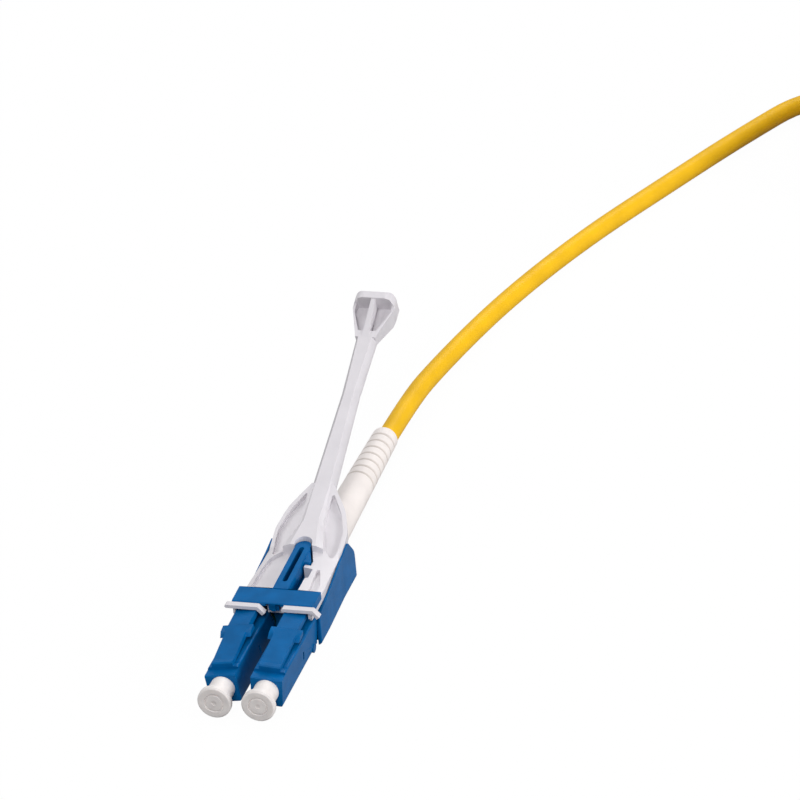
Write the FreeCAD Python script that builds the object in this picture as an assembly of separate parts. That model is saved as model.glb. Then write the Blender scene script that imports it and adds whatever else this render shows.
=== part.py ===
import FreeCAD, Part
import math
import os

# Duplex fibre-optic connector with a push-pull tab, on a pigtail cord.
# Millimetres. X is across the two plugs, Y runs back along the cord, Z is up.
# The origin is midway between the two ferrule axes, in the plane of the plugs' front faces.

V = FreeCAD.Vector
X_AXIS = V(1, 0, 0)
Y_AXIS = V(0, 1, 0)
Z_AXIS = V(0, 0, 1)

# ---------------------------------------------------------------- driving sizes
# The two plugs
PITCH = 6.25                 # between the two ferrule axes
LEANS = {"left": 8.0, "right": 4.0}   # degrees each plug is turned outward in its round seat
PLUG_WIDTH = 4.5             # square body
PLUG_LENGTH = 16.4           # front face to the end of the square body
PLUG_NECK = 4.3              # round neck that turns in the housing
PLUG_NECK_LENGTH = 0.8
PLUG_EDGE = 0.3              # rounding of the long edges
NOSE_DROP = 0.35             # the nose is lower than the body's top
NOSE_LENGTH = 1.65
FRONT_BORE = 3.0             # mouth round the ferrule
FRONT_DEPTH = 6.4
SEAT_WALL = 0.5              # wall behind the mouth, which the ferrule's flange rests on
REAR_BORE = 3.3              # bore for the flange, its spring and the rear post
SIDE_SLOT = (0.45, 1.25)     # window for the rear post's catch: along Y, along Z
SIDE_SLOT_Y = 9.85
FOOT_LENGTH = 1.3            # small rounded foot under each plug's outer edge
FOOT_RADIUS = 0.45
FOOT_Y = 14.05
FLOOR_GAP = 0.06             # the plugs stay this far above the surface that the housing rests on

# Latch arms
HINGE_Y = 2.75
HINGE_HEIGHT = 2.55          # above the ferrule axis
HINGE_RADIUS = 0.38
HINGE_GAP = 0.04
ARM_WIDTH = 3.05
ARM_THICKNESS = 0.82
LUG_REAR_Y = 10.2
LUG_LENGTH = 2.1
LUG_DROP = 0.75              # lug height, from the top of the arm down
ARM_RISE_AT_LUG = 3.84       # top of the arm at the rear of the lugs
LIP_CONTACT_HEIGHT = 3.97    # top of the arm under the tab's lips
RAMP_START_Y = 14.55
RAMP_RISE = 0.2
ARM_TIP_Y = 16.9

# Ferrules, flanges, springs and rear posts
FERRULE_DIAMETER = 1.25
FERRULE_REACH = 1.9          # tip in front of the plug's face
FERRULE_SEATED = 1.6         # length held in the flange
FLANGE_DIAMETER = 2.6
FLANGE_LENGTH = 1.5
TAIL_DIAMETER = 1.5
TAIL_LENGTH = 4.0
TAIL_BORE = 1.02
SPRING_WIRE = 0.28
SPRING_TURNS = 5
SPRING_CLEARANCE = 0.12      # radial, inside and outside the coils
SPRING_LENGTH = 3.6
POST_BORE = 1.56
POST_COLLAR_DIAMETER = 4.55
POST_COLLAR_LENGTH = 1.1
SEAT_GAP = 0.03              # end play of the posts on the bulkhead
COLLAR_GAP = 0.06            # radial, round the posts' collars

# Dust caps
CAP_STEM = 3.45
CAP_FLANGE = 4.8
CAP_FLANGE_LENGTH = 1.0
CAP_REACH = 4.1              # front of the cap to the plug's face
CAP_SLEEVE = 2.5             # thin sleeve inside the plug's mouth
CAP_SLEEVE_LENGTH = 3.2
CAP_BORE = 1.31
CAP_RING = (2.9, 2.3, 0.14)  # shallow ring in the face: outer, inner diameter, depth
CAP_PIP = (0.7, 0.12)        # dimple in the middle: diameter, depth
CAP_FACE_GAP = 0.02

# Rear housing
HOUSING_BOTTOM = -2.7        # below the ferrule axes: the face that the part rests on
HOUSING_EDGE = 0.7           # rounding of the lower long edges
WALL = 0.55
LIP_WALL = 0.26              # thin upper wall beside the tab
HOUSING_FRONT_GAP = 0.2      # from the plugs' square bodies to the housing's front edge
REAR_Y = 34.8
SIDE_TOP_FRONT = 2.05        # top of the side walls at the front
SIDE_TOP_REAR = 4.45         # and at the rear crest
CREST_Y = 32.4
SHOULDER_HEIGHT = 1.8        # where the rear face ends and its slope to the crest starts
SHOULDER_ROUNDING = 2.2
DECK_HEIGHT = 2.62           # flat deck that the tab slides on
BULKHEAD_GAP = 0.7           # from the plugs' round necks to the bulkhead
BULKHEAD = 1.3
TURN_GAP = 0.06              # radial play of a plug's neck in its bulkhead
REAR_WALL = 2.4
COVER = 0.8                  # bottom cover plate
COVER_GAP = 0.05

# Pull tab
TAB_SLIDE_GAP = 0.06         # beside and below the tab in its trough
TAB_FRONT_Y = 14.4
TAB_REAR_Y = 40.5            # where the plate ends under the pull arm
ABOVE = 12                   # higher than anything on the connector
TAB_CROWN = 4.65             # height of the plate's arched top, along its middle
CROWN_RADIUS = 18.2          # of the arch, across the plate
TAB_BEND_Y = 29.86           # behind this the plate climbs
TAB_SLOPE = 22.8             # degrees
TAPER_Y = (18.5, 27.0)       # the plate narrows between these
TAB_REAR_HALF = 5.3          # half width behind its taper
TAB_SHOULDER_Y = 33.6        # where its sides turn in towards the arm
ROOF = 0.9                   # housing's deck above its cavity
HOOK_SETBACK = (4.0, 2.5)    # of the bottom cover's two snap hooks, from its rear edge
HOOK_HEIGHT = 2.2
HOLLOW = (0.4, 4.6)          # hollow under the tab's plate: height, half width
SIDE_RAIL = 0.32             # thin rail beside each latch arm
ARM_SIDE_GAP = 0.044         # between the more leaning arm and its rail
CENTRE_WEB = 1.2             # half width of the web between the arms
WEB_FRONT_Y = 15.7
POCKET_DEPTH = 0.75          # of the two rear pockets
FRONT_POCKET_DEPTH = 0.55
RIM = 0.55                   # width of the raised rim round the plate
SPINE_STEP_Y = 29.2
# The spine's half width, the half width of its flat top, and the top's height and the drop of its flanks,
# at its front step and where it has narrowed
SPINE_STEP = (2.95, 1.9, 5.62, 0.45)
SPINE_WAIST = (1.75, 1.05, 6.95, 0.8)
SPINE_WAIST_Y = 34.0
WINDOW_GAP = 0.05            # between the clip's tongue and the front of its window
WINDOW_SIDE_GAP = 0.12       # beside the tongue
WINDOW_STEPS = (2.3, 2.7)    # X of the window's right edge, before and after its step
WINDOW_STEP_Y = 22.3
LIP_ENDS = {"left": (-6.7, -1.9), "right": (1.5, 6.0)}   # level stretch of each lip
LIP_SLANT = 0.95             # reach and drop of the slanted end past it
LIP_DEPTH = 1.0
LIP_THICKNESS = 0.5
LIP_FRONT_Y = 13.5
LIP_GAP = 0.03               # between a lip's pad and the arm below it
ARM_ANGLE = 22.4             # the pull arm's slope
ARM_BASE = (40.2, 9.15)      # Y and Z of the top of the arm's root
PULL_ARM_LENGTH = 27.3
PULL_ARM_WIDTHS = (3.3, 2.5, 3.0)     # root, waist and neck
PULL_ARM_FLANKS = (0.6, 0.6, 0.5)     # width of the arm's sloped edges there
PULL_ARM_WAIST = 0.62        # its place, as a share of the arm's length
PULL_ARM_THICKNESS = 1.7
FLANK_DROP = 0.5             # drop of the sloped edges, as a share of the thickness
KNOB_LENGTH = 7.2
KNOB_WIDTH = 6.3
KNOB_ARCH = 1.9              # rounding of its top corners, seen along the arm
KNOB_FOOT = 0.9              # and of its lower ones
KNOB_FLOOR = 1.3             # depth of its two cups, below the arm's top
KNOB_WALL = 0.4              # beside the cups
KNOB_RIB = (0.5, 0.3)        # half width of the rib between the cups, at the neck and at the plate
KNOB_HEIGHT = 4.3
KNOB_PROUD = 1.3             # the cross plate stands above the arm
KNOB_PLATE = 1.3
TAB_TRAVEL = 2.0

# Clip
BAR_Y = (14.55, 18.2)
BAR_HALF = 5.9
CLIP_FRONT_TOP = 4.88        # top of the clip at the bar's front edge
CLIP_SLOPE = 0.03            # rise of the clip's top along Y
BAR_THICKNESS = 0.5          # between its two ends, which reach down to the tab's rails
BAR_LEG = 0.75               # half width of the leg that keys the bar between the arms
TONGUE_HALF = 1.1
TONGUE_TIP_Y = 30.7
TONGUE_DEPTH = 1.9
SLOT_WIDTH = 0.72
SLOT_Y = (20.2, 29.1)
BARB_Y = (25.75, 29.0)
BARB_REACH = 0.95
BARB_HEIGHT = 1.1
BARB_DROP = 0.25             # the barb's top lies below the tongue's
SEAT = 0.02                  # between the clip and the tab that it is snapped into

# Crimp, boot and cord
CORD_DIAMETER = 3.0
CRIMP_DIAMETER = 3.9
CRIMP_BORE = 2.1
CRIMP_FLANGE = (5.6, 1.2)    # width and thickness of the flange inside the housing
CRIMP_SHOULDER_Y = 36.5
BARREL_LENGTH = 5.5          # thinner barrel under the crimp sleeve
SLEEVE_LENGTH = 8.5
BOOT_FRONT = 5.3
BOOT_REAR = 3.85
BOOT_END_Y = 69.9
BOOT_GROOVES = 7
BOOT_GROOVE_PITCH = 1.95
BOOT_GROOVE = (0.5, 0.16)    # width, depth
BOOT_GAP = 0.05
FIBRE_DIAMETER = 0.9
FIBRE_SPLAY_Y = (22.3, 27.8) # where the fibres turn in towards the crimp, and out of it
COIL_MEAN = 31.0
COIL_SECTION = (9.4, 9.1)    # radial width and height of the put-away coil
TIE_WIDTH = 5.0
TIE_THICKNESS = 0.5
TIE_GAP = 0.05
TIE_ANGLE = 20.0             # where the tie sits round the coil, from +X
TOUCH = 0.02                 # between the cord and what it lies against

# Route of the cord from the crimp to its coil: points chosen by hand, on the floor past the boot
ROUTE = [(0.0, 42.2, 0.0), (0.0, 78.6, 0.0), (1.9, 97.4, -1.18), (6.3, 117.0, -1.19),
         (13.3, 138.0, -1.18), (22.2, 158.3, -1.19), (29.4, 174.5, -1.18), (38.6, 192.8, -1.19),
         (62.8, 193.6, -1.18)]

# Places worked out from the sizes above
HALF = PLUG_WIDTH / 2
PLUG_NECK_END_Y = PLUG_LENGTH + PLUG_NECK_LENGTH
FRONT_Y = PLUG_LENGTH + HOUSING_FRONT_GAP
BULKHEAD_Y = PLUG_NECK_END_Y + BULKHEAD_GAP
FLOOR = HOUSING_BOTTOM
NECK_DIAMETER = REAR_BORE + 2 * 0.45
FLANGE_Y = FRONT_DEPTH + SEAT_WALL
SIDE_SIGN = {"left": -1, "right": 1}


# ---------------------------------------------------------------- helpers
def box(x0, x1, y0, y1, z0, z1):
    return Part.makeBox(x1 - x0, y1 - y0, z1 - z0, V(x0, y0, z0))


def rod(diameter, y0, y1, x=0.0, z=0.0):
    """A round bar along Y."""
    return Part.makeCylinder(diameter / 2, y1 - y0, V(x, y0, z), Y_AXIS)


def face_of(corners):
    """Face inside a closed outline; each corner is a point, or a point and the radius that rounds it."""
    corners = [corner if isinstance(corner, tuple) else (corner, 0) for corner in corners]
    runs = []
    for (before, _), (corner, radius), (after, _) in zip(corners[-1:] + corners, corners, corners[1:] + corners[:1]):
        back = (before - corner).normalize()
        ahead = (after - corner).normalize()
        half_angle = back.getAngle(ahead) / 2
        reach = radius / math.tan(half_angle)
        middle = corner + (back + ahead).normalize() * (radius / math.sin(half_angle) - radius) if radius else corner
        runs.append((corner + back * reach, middle, corner + ahead * reach))
    edges = []
    for (first, middle, last), (following, _, _) in zip(runs, runs[1:] + runs[:1]):
        if not first.isEqual(last, 1e-6):
            edges.append(Part.Arc(first, middle, last).toShape())
        if not last.isEqual(following, 1e-6):
            edges.append(Part.LineSegment(last, following).toShape())
    return Part.Face(Part.Wire(edges))


def side_profile(outline, x0, x1):
    """Extrudes a (Y, Z) outline across X; a third number on a corner is its rounding."""
    return face_of([(V(x0, y, z), sum(rounding)) for y, z, *rounding in outline]).extrude(V(x1 - x0, 0, 0))


def plan_profile(outline, z0, z1):
    """Extrudes an (X, Y) outline up Z; a third number on a corner is its rounding."""
    return face_of([(V(x, y, z0), sum(rounding)) for x, y, *rounding in outline]).extrude(V(0, 0, z1 - z0))


def front_profile(outline, y0, y1):
    """Extrudes an (X, Z) outline back along Y; a third number on a corner is its rounding."""
    return face_of([(V(x, y0, z), sum(rounding)) for x, z, *rounding in outline]).extrude(V(0, y1 - y0, 0))


def mirrored(outline):
    """Closes a right-hand outline with its mirror image across X."""
    return outline + [(-x, *rest) for x, *rest in reversed(outline)]


def revolved(outline):
    """Revolves a (radius, Y) outline about the Y axis."""
    return face_of([V(r, y, 0) for r, y in outline]).revolve(V(0, 0, 0), Y_AXIS, 360)


def long_edges(shape, axis, keep=lambda edge: True):
    """Straight edges that run along an axis."""
    found = []
    for edge in shape.Edges:
        if edge.Curve.TypeId != "Part::GeomLine":
            continue
        along = edge.Vertexes[1].Point - edge.Vertexes[0].Point
        if abs(along.normalize().dot(axis)) > 0.999 and keep(edge):
            found.append(edge)
    return found


def on_plug(shape, side):
    """Moves a shape from its plug's own frame to the plug's place."""
    turned = shape.copy()
    turned.rotate(V(0, 0, 0), Y_AXIS, SIDE_SIGN[side] * LEANS[side])
    turned.translate(V(SIDE_SIGN[side] * PITCH / 2, 0, 0))
    return turned


def height_on(line, y):
    """Height of a polyline of (Y, Z) points at y."""
    for (y0, z0), (y1, z1) in zip(line, line[1:]):
        if y <= y1:
            return z0 + (z1 - z0) * (y - y0) / (y1 - y0)
    (y0, z0), (y1, z1) = line[-2:]
    return z1 + (z1 - z0) / (y1 - y0) * (y - y1)


# ---------------------------------------------------------------- plugs
def plug_body(side):
    body = box(-HALF, HALF, 0, PLUG_LENGTH, -HALF, HALF)
    body = body.makeFillet(PLUG_EDGE, long_edges(body, Y_AXIS))
    body = body.fuse(rod(PLUG_NECK, PLUG_LENGTH - 0.1, PLUG_NECK_END_Y))
    body = body.cut(box(-HALF, HALF, 0, NOSE_LENGTH, HALF - NOSE_DROP, HALF))
    nose = [e for e in body.Edges if e.BoundBox.YMax < 0.001 and e.BoundBox.ZMin > HALF - NOSE_DROP - 0.001]
    body = body.makeChamfer(0.14, nose)
    pedestal = side_profile([(NOSE_LENGTH, HALF - NOSE_DROP), (NOSE_LENGTH, HALF + 0.5),
                             (NOSE_LENGTH + 0.18, HINGE_HEIGHT + HINGE_RADIUS),
                             (HINGE_Y, HINGE_HEIGHT + HINGE_RADIUS), (HINGE_Y, HALF - NOSE_DROP)],
                            -ARM_WIDTH / 2, ARM_WIDTH / 2)
    body = body.fuse(pedestal)
    barrel_seat = Part.makeCylinder(HINGE_RADIUS + HINGE_GAP, PLUG_WIDTH,
                                    V(-HALF, HINGE_Y, HINGE_HEIGHT), X_AXIS)
    body = body.cut(barrel_seat)
    body = body.cut(box(-HALF, HALF, HINGE_Y, HINGE_Y + 1, HALF, HALF + 2))
    body = body.cut(rod(FRONT_BORE, 0, FRONT_DEPTH))
    body = body.cut(rod(FERRULE_DIAMETER + 0.3, FRONT_DEPTH, FLANGE_Y))
    body = body.cut(rod(REAR_BORE, FLANGE_Y, PLUG_NECK_END_Y))
    along, high = SIDE_SLOT
    for x0, x1 in ((-HALF, -REAR_BORE / 2 + 0.2), (REAR_BORE / 2 - 0.2, HALF)):
        body = body.cut(box(x0, x1, SIDE_SLOT_Y, SIDE_SLOT_Y + along, -high * 0.7, high * 0.3))
    outer = SIDE_SIGN[side] * (HALF - FOOT_RADIUS * 0.6)
    foot = Part.makeCylinder(FOOT_LENGTH / 2, 2 * FOOT_RADIUS,
                             V(outer - FOOT_RADIUS, FOOT_Y + FOOT_LENGTH / 2, -HALF + FOOT_LENGTH * 0.3), X_AXIS)
    plug = on_plug(body.fuse(foot).removeSplitter(), side)
    return plug.common(box(-PITCH, PITCH, -1, REAR_Y, FLOOR + FLOOR_GAP, 2 * PITCH))


def latch_arm_profile():
    """Side outline of the arm behind its hinge barrel, in the plug's frame."""
    top = [(HINGE_Y, HINGE_HEIGHT + HINGE_RADIUS), (LUG_REAR_Y, ARM_RISE_AT_LUG),
           (LIP_FRONT_Y, LIP_CONTACT_HEIGHT), (RAMP_START_Y, LIP_CONTACT_HEIGHT),
           (ARM_TIP_Y - 0.4, LIP_CONTACT_HEIGHT + RAMP_RISE),
           (ARM_TIP_Y, LIP_CONTACT_HEIGHT + RAMP_RISE - 0.15)]
    bottom = [(ARM_TIP_Y, LIP_CONTACT_HEIGHT - ARM_THICKNESS + 0.1),
              (RAMP_START_Y, LIP_CONTACT_HEIGHT - ARM_THICKNESS),
              (LUG_REAR_Y, ARM_RISE_AT_LUG - ARM_THICKNESS),
              (HINGE_Y + 0.5, HINGE_HEIGHT - HINGE_RADIUS * 0.45),
              (HINGE_Y, HINGE_HEIGHT - HINGE_RADIUS * 0.9)]
    return top, bottom


def latch_arm(side):
    top, bottom = latch_arm_profile()
    arm = side_profile(top + bottom, -ARM_WIDTH / 2, ARM_WIDTH / 2)
    barrel = Part.makeCylinder(HINGE_RADIUS, ARM_WIDTH, V(-ARM_WIDTH / 2, HINGE_Y, HINGE_HEIGHT), X_AXIS)
    arm = arm.fuse(barrel)
    front = LUG_REAR_Y - LUG_LENGTH
    lug_top = height_on(top, LUG_REAR_Y)
    lug = side_profile([(front, height_on(top, front) - LUG_DROP * 0.75), (front + 0.7, height_on(top, front + 0.7)),
                        (LUG_REAR_Y - 0.1, lug_top), (LUG_REAR_Y, lug_top - 0.1),
                        (LUG_REAR_Y, lug_top - LUG_DROP)], -HALF, HALF)
    lug = lug.makeChamfer(0.1, long_edges(lug, Z_AXIS))
    arm = arm.fuse(lug).removeSplitter()
    return on_plug(arm, side)


def ferrule(side):
    tip_edge = 0.14
    outline = [(0, -FERRULE_REACH), (FERRULE_DIAMETER / 2 - tip_edge, -FERRULE_REACH),
               (FERRULE_DIAMETER / 2, -FERRULE_REACH + tip_edge * 2),
               (FERRULE_DIAMETER / 2, FLANGE_Y + FERRULE_SEATED), (0, FLANGE_Y + FERRULE_SEATED)]
    return on_plug(revolved(outline), side)


def ferrule_flange(side):
    """Flange, pressed on the ferrule, with the long tail that guides the spring."""
    tail_end = FLANGE_Y + FLANGE_LENGTH + TAIL_LENGTH
    outline = [(FERRULE_DIAMETER / 2, FLANGE_Y), (FLANGE_DIAMETER / 2 - 0.2, FLANGE_Y),
               (FLANGE_DIAMETER / 2, FLANGE_Y + 0.25), (FLANGE_DIAMETER / 2, FLANGE_Y + FLANGE_LENGTH),
               (TAIL_DIAMETER / 2, FLANGE_Y + FLANGE_LENGTH), (TAIL_DIAMETER / 2, tail_end),
               (TAIL_BORE / 2, tail_end), (TAIL_BORE / 2, FLANGE_Y + FERRULE_SEATED),
               (FERRULE_DIAMETER / 2, FLANGE_Y + FERRULE_SEATED)]
    return on_plug(revolved(outline), side)


def spring(side):
    """Coil spring round the flange's tail, between the flange and the rear post."""
    radius = TAIL_DIAMETER / 2 + SPRING_CLEARANCE + SPRING_WIRE / 2
    start = FLANGE_Y + FLANGE_LENGTH + SPRING_WIRE / 2 + 0.02
    run = SPRING_LENGTH - SPRING_WIRE - 0.04
    helix = Part.makeHelix(run / SPRING_TURNS, run, radius)
    corners = [V(radius + SPRING_WIRE / 2 * math.cos(turn), 0, SPRING_WIRE / 2 * math.sin(turn))
               for turn in (math.radians(45 * step) for step in range(8))]
    section = Part.makePolygon(corners + [corners[0]])
    coil = Part.Wire(helix.Edges).makePipeShell([section], True, True)
    coil.rotate(V(0, 0, 0), X_AXIS, -90)
    coil.translate(V(0, start, 0))
    return on_plug(coil, side)


def rear_post(side):
    """Tube pressed into the plug's rear: it backs the spring and holds the plug in the bulkhead."""
    front = FLANGE_Y + FLANGE_LENGTH + SPRING_LENGTH
    collar = BULKHEAD_Y + BULKHEAD + SEAT_GAP
    outline = [(POST_BORE / 2, front), (REAR_BORE / 2, front), (REAR_BORE / 2, PLUG_NECK_END_Y),
               (NECK_DIAMETER / 2, PLUG_NECK_END_Y), (NECK_DIAMETER / 2, collar),
               (POST_COLLAR_DIAMETER / 2, collar), (POST_COLLAR_DIAMETER / 2, collar + POST_COLLAR_LENGTH),
               (POST_BORE / 2, collar + POST_COLLAR_LENGTH)]
    return on_plug(revolved(outline), side)


def dust_cap(side):
    front = -CAP_REACH
    ring_outer, ring_inner, ring_depth = CAP_RING
    pip, pip_depth = CAP_PIP
    edge = 0.22
    back = front + CAP_FLANGE_LENGTH
    outline = [(0, front + pip_depth), (pip / 2, front + pip_depth), (pip / 2, front),
               (ring_inner / 2, front), (ring_inner / 2 + 0.08, front + ring_depth),
               (ring_outer / 2 - 0.08, front + ring_depth), (ring_outer / 2, front),
               (CAP_FLANGE / 2 - edge, front), (CAP_FLANGE / 2, front + edge), (CAP_FLANGE / 2, back - edge),
               (CAP_FLANGE / 2 - edge, back), (CAP_STEM / 2 + 0.15, back), (CAP_STEM / 2, back + 0.15),
               (CAP_STEM / 2 + 0.02, -CAP_FACE_GAP), (CAP_SLEEVE / 2, -CAP_FACE_GAP),
               (CAP_SLEEVE / 2, CAP_SLEEVE_LENGTH), (CAP_BORE / 2, CAP_SLEEVE_LENGTH),
               (CAP_BORE / 2, -FERRULE_REACH - 0.3), (0, -FERRULE_REACH - 0.3)]
    return on_plug(revolved(outline), side)


# ---------------------------------------------------------------- rear housing
def arm_reach():
    """Outer edge of the more leaning latch arm, at the top of its ramp."""
    reach = 0.0
    for lean in LEANS.values():
        turn = math.radians(lean)
        top = LIP_CONTACT_HEIGHT + RAMP_RISE
        reach = max(reach, PITCH / 2 + top * math.sin(turn) + ARM_WIDTH / 2 * math.cos(turn))
    return reach


def tab_half():
    """Half width of the tab, whose rails run beside the latch arms."""
    return arm_reach() + ARM_SIDE_GAP + SIDE_RAIL


def housing_half():
    """Half width of the housing, whose thin upper walls run beside the tab."""
    return tab_half() + TAB_SLIDE_GAP + LIP_WALL


def rear_inner():
    """Half width of the housing's inside behind its taper."""
    return TAB_REAR_HALF + TAB_SLIDE_GAP + LIP_WALL - WALL


def tapered(beside, rear, reach=0.0):
    """Plan of the tab's straight and tapered sides, offset outwards and moved back by its travel."""
    start, end = TAPER_Y
    return mirrored([(tab_half() + beside, FRONT_Y - 1), (tab_half() + beside, start + TAB_TRAVEL, 6),
                     (TAB_REAR_HALF + beside, end + TAB_TRAVEL, 6), (TAB_REAR_HALF + beside, rear + reach)])


def housing_outline():
    """Side outline of the housing, counter-clockwise from its lower front corner."""
    return [(FRONT_Y, FLOOR), (REAR_Y, FLOOR), (REAR_Y, SHOULDER_HEIGHT, SHOULDER_ROUNDING),
            (CREST_Y, SIDE_TOP_REAR, 0.5), (FRONT_Y, SIDE_TOP_FRONT)]


def collar_pocket(side):
    """Round pocket behind the bulkhead for a post's collar."""
    front = BULKHEAD_Y + BULKHEAD
    rear = front + SEAT_GAP + POST_COLLAR_LENGTH + COLLAR_GAP
    return rod(POST_COLLAR_DIAMETER + 2 * COLLAR_GAP, front, rear, SIDE_SIGN[side] * PITCH / 2, 0)


def rear_housing():
    half = housing_half()
    shell = side_profile(housing_outline(), -half, half)
    shell = shell.common(plan_profile(tapered(TAB_SLIDE_GAP + LIP_WALL, REAR_Y, 1), FLOOR - 1, SIDE_TOP_REAR + 1))
    lower = [e for e in shell.Edges if e.BoundBox.ZMax < FLOOR + 0.01 and e.BoundBox.YLength > 1.5]
    shell = shell.makeFillet(HOUSING_EDGE, lower)
    front_corners = [e for e in shell.Edges if e.BoundBox.YMax < FRONT_Y + 0.01 and e.BoundBox.XLength < 0.01]
    shell = shell.makeFillet(0.2, front_corners)
    # the tab slides between the thin upper walls, on a level deck
    shell = shell.cut(plan_profile(tapered(TAB_SLIDE_GAP, REAR_Y, 1), DECK_HEIGHT, SIDE_TOP_REAR + 1))
    # front mouth for the plugs, open below for the bottom cover
    inside = tapered(TAB_SLIDE_GAP + LIP_WALL - WALL, REAR_Y, 1)
    inner = rear_inner()
    mouth_rear = BULKHEAD_Y
    mouth = box(-half, half, FRONT_Y - 1, mouth_rear, FLOOR - 1, DECK_HEIGHT + 3)
    shell = shell.cut(mouth.common(plan_profile(inside, FLOOR - 1, DECK_HEIGHT + 3)))
    cavity = box(-inner, inner, BULKHEAD_Y + BULKHEAD, REAR_Y - REAR_WALL, FLOOR - 1, DECK_HEIGHT - ROOF)
    shell = shell.cut(cavity)
    for side in SIDE_SIGN:
        shell = shell.cut(rod(NECK_DIAMETER + 2 * TURN_GAP, mouth_rear - 0.5, BULKHEAD_Y + BULKHEAD + 0.5,
                              SIDE_SIGN[side] * PITCH / 2, 0))
        shell = shell.cut(collar_pocket(side))
    shell = shell.cut(rod(CRIMP_DIAMETER + 2 * BOOT_GAP, REAR_Y - REAR_WALL - 1, REAR_Y + 1))
    seat = box(-inner, inner, mouth_rear - 1, REAR_Y - REAR_WALL, FLOOR - 1, FLOOR + COVER)
    return shell.cut(seat).removeSplitter()


def bottom_cover():
    inner = rear_inner() - COVER_GAP
    rear = REAR_Y - REAR_WALL - COVER_GAP
    plate = box(-inner, inner, BULKHEAD_Y + COVER_GAP, rear, FLOOR, FLOOR + COVER)
    plate = plate.makeFillet(0.3, long_edges(plate, Z_AXIS))
    for side in SIDE_SIGN:
        plate = plate.cut(collar_pocket(side))
        plate = plate.cut(rod(NECK_DIAMETER + 2 * TURN_GAP, BULKHEAD_Y, BULKHEAD_Y + BULKHEAD,
                              SIDE_SIGN[side] * PITCH / 2, 0))
    plate = plate.cut(rod(CRIMP_DIAMETER + 2 * COLLAR_GAP, rear - REAR_WALL, rear + 1))
    hook_front, hook_rear = HOOK_SETBACK
    for x in (-inner + 0.9, inner - 1.5):
        hook = box(x, x + 0.6, rear - hook_front, rear - hook_rear, FLOOR + COVER - 0.2, FLOOR + COVER + HOOK_HEIGHT)
        plate = plate.fuse(hook)
    return plate.removeSplitter()


# ---------------------------------------------------------------- pull tab
def arm_corner_height(side):
    """Height of the highest corner of a leaning arm, where its lip rests on it."""
    turn = math.radians(LEANS[side])
    return LIP_CONTACT_HEIGHT * math.cos(turn) + ARM_WIDTH / 2 * math.sin(turn)


def crown(drop):
    """Everything under the plate's arched top, lowered by drop: level in front, climbing behind the bend."""
    reach = tab_half() + 1
    top = TAB_CROWN - drop
    edge = top - (CROWN_RADIUS - math.sqrt(CROWN_RADIUS ** 2 - reach ** 2))
    foot = -top
    arch = [Part.LineSegment(V(-reach, 0, foot), V(reach, 0, foot)),
            Part.LineSegment(V(reach, 0, foot), V(reach, 0, edge)),
            Part.Arc(V(reach, 0, edge), V(0, 0, top), V(-reach, 0, edge)),
            Part.LineSegment(V(-reach, 0, edge), V(-reach, 0, foot))]
    section = Part.Face(Part.Wire([side.toShape() for side in arch]))
    level = section.translated(V(0, TAB_FRONT_Y, 0)).extrude(V(0, TAB_BEND_Y + 2 - TAB_FRONT_Y, 0))
    run = TAB_REAR_Y - TAB_BEND_Y
    climb = section.translated(V(0, TAB_BEND_Y, 0)).extrude(V(0, run, run * math.tan(math.radians(TAB_SLOPE))))
    return level.fuse(climb)


def tab_saddle():
    """The plate that rides on the housing, with its plan outline and its hollow underside."""
    under = DECK_HEIGHT + TAB_SLIDE_GAP
    behind = [(TAB_REAR_Y, 7.3), (35.2, 5.0), (CREST_Y + 0.6, 3.6), (CREST_Y - 0.2, under)]
    beside = PITCH * 1.5
    above = [(TAB_FRONT_Y, under), (TAB_FRONT_Y, ABOVE), (TAB_REAR_Y, ABOVE)]
    saddle = side_profile(above + behind, -beside, beside)
    start, end = TAPER_Y
    arm = PULL_ARM_WIDTHS[0] / 2
    outline = mirrored([(tab_half(), TAB_FRONT_Y), (tab_half(), start, 6), (TAB_REAR_HALF, end, 6),
                        (TAB_REAR_HALF, TAB_SHOULDER_Y, 3), (TAB_REAR_HALF - 1.0, TAB_SHOULDER_Y + 3.1, 6),
                        (arm, TAB_REAR_Y)])
    saddle = saddle.common(plan_profile(outline, 0, ABOVE)).common(crown(0))
    rise, reach = HOLLOW
    for sign in (1, -1):
        x0, x1 = sorted((sign * (WINDOW_STEPS[1] + 0.6), sign * reach))
        saddle = saddle.cut(box(x0, x1, BAR_Y[1] + 0.3, CREST_Y - 1.6, under - 1, under + rise))
    bar_seat = clip_top(BAR_Y[0]) - BAR_THICKNESS - SEAT
    return saddle.cut(box(-beside, beside, TAB_FRONT_Y - 1, BAR_Y[1] + SEAT, bar_seat, ABOVE))


def arm_notches():
    """Openings for the latch arms, in front of the plate, between the rails and the web."""
    inner = tab_half() - SIDE_RAIL
    rear = ARM_TIP_Y + 0.35
    notches = []
    for sign in (1, -1):
        x0, x1 = sorted((sign * CENTRE_WEB, sign * inner))
        notches.append(box(x0, x1, TAB_FRONT_Y - 1, rear, 0, ABOVE))
    notches.append(box(-CENTRE_WEB - 0.01, CENTRE_WEB + 0.01, TAB_FRONT_Y - 1, WEB_FRONT_Y, 0, ABOVE))
    return notches


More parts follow.
